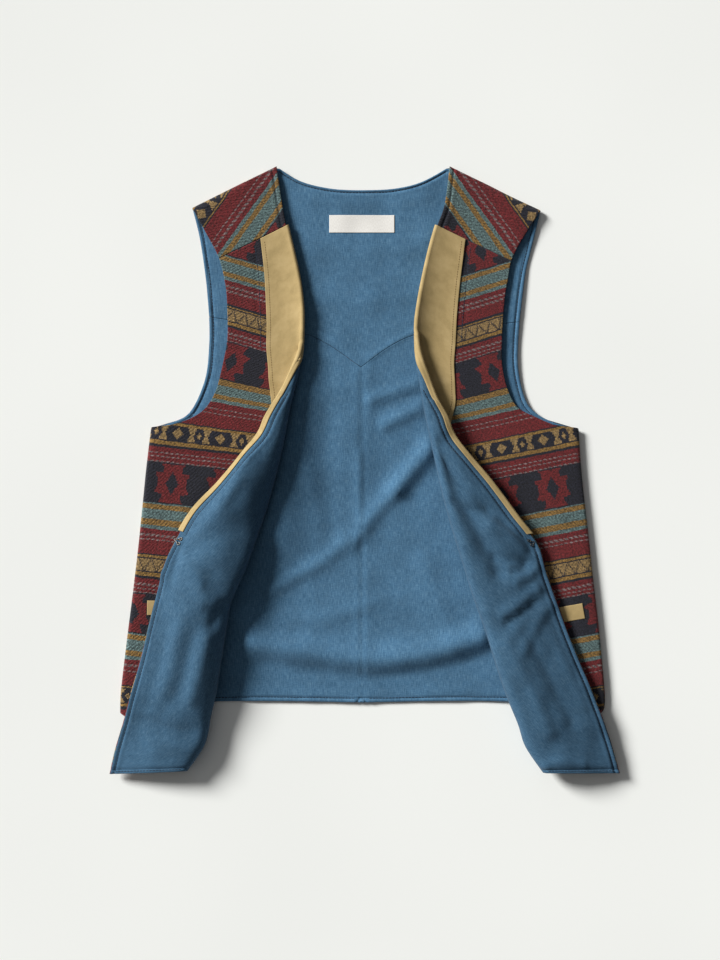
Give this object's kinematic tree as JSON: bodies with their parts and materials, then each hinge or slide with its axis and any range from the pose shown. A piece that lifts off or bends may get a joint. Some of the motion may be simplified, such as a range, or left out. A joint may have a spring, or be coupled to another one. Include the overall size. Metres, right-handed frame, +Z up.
{
  "type": "western vest",
  "caption": "Striped wool western vest with tan leather neck edges and blue denim lining, laid open on its back with both fronts turned out.",
  "frame": {"origin": "middle of the outline seen from above, on the surface that the back lies on", "axes": "+Y along the back towards the neck, +X to the right as seen from above with the neck up, +Z up out of the surface"},
  "size_m": [0.6116, 0.7276, 0.0381],
  "materials": {
    "wool": "striped wool blanket weave, soft nap",
    "denim": "washed blue twill with slubs",
    "leather": "pale tan suede leather, matte",
    "label": "plain woven satin",
    "hardware": "black enamel wire"
  },
  "bodies": {
    "root": {"back_shell": "wool", "front_shell_left": "wool", "front_shell_right": "wool", "front_yoke_left": "wool", "front_yoke_right": "wool", "back_lining_yoke": "denim", "back_lining_left": "denim", "back_lining_right": "denim", "front_lining_left": "denim", "front_lining_right": "denim", "leather_lapel_left": "leather", "leather_lapel_right": "leather", "pocket_welt_left": "leather", "pocket_welt_right": "leather", "label": "label", "hook": "hardware", "eye": "hardware"}
  },
  "joints": []
}
